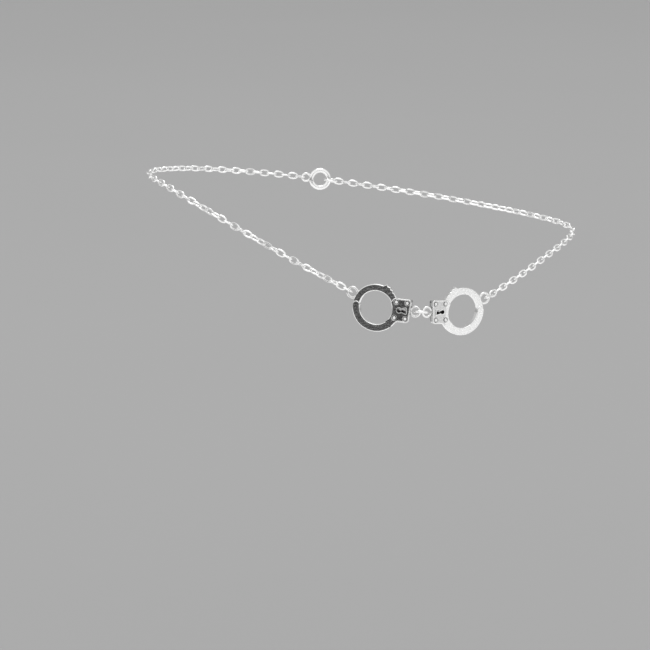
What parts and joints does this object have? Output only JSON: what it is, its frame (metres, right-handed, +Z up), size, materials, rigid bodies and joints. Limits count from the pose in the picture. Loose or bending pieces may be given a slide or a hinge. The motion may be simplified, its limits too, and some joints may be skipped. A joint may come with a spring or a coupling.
{
  "type": "handcuff charm anklet",
  "caption": "Fine silver cable-chain anklet in its worn shape, carrying small linked handcuffs with pierced keyholes, and closed by a ring clasp behind.",
  "frame": {"origin": "middle of the opening that the ankle goes through", "axes": "+X towards the heel, -Y towards the outer side of the ankle, where the handcuffs hang, +Z up the leg"},
  "size_m": [0.1034, 0.0562, 0.0347],
  "materials": {
    "brushed_silver": "cast silver with finely brushed faces and polished bevels",
    "polished_silver": "polished silver wire"
  },
  "bodies": {
    "root": {"front_cuff": "brushed_silver", "heel_cuff": "brushed_silver", "centre_ring": "polished_silver", "front_chain": "polished_silver", "heel_chain": "polished_silver", "clasp": "polished_silver", "end_ring": "polished_silver"}
  },
  "joints": []
}
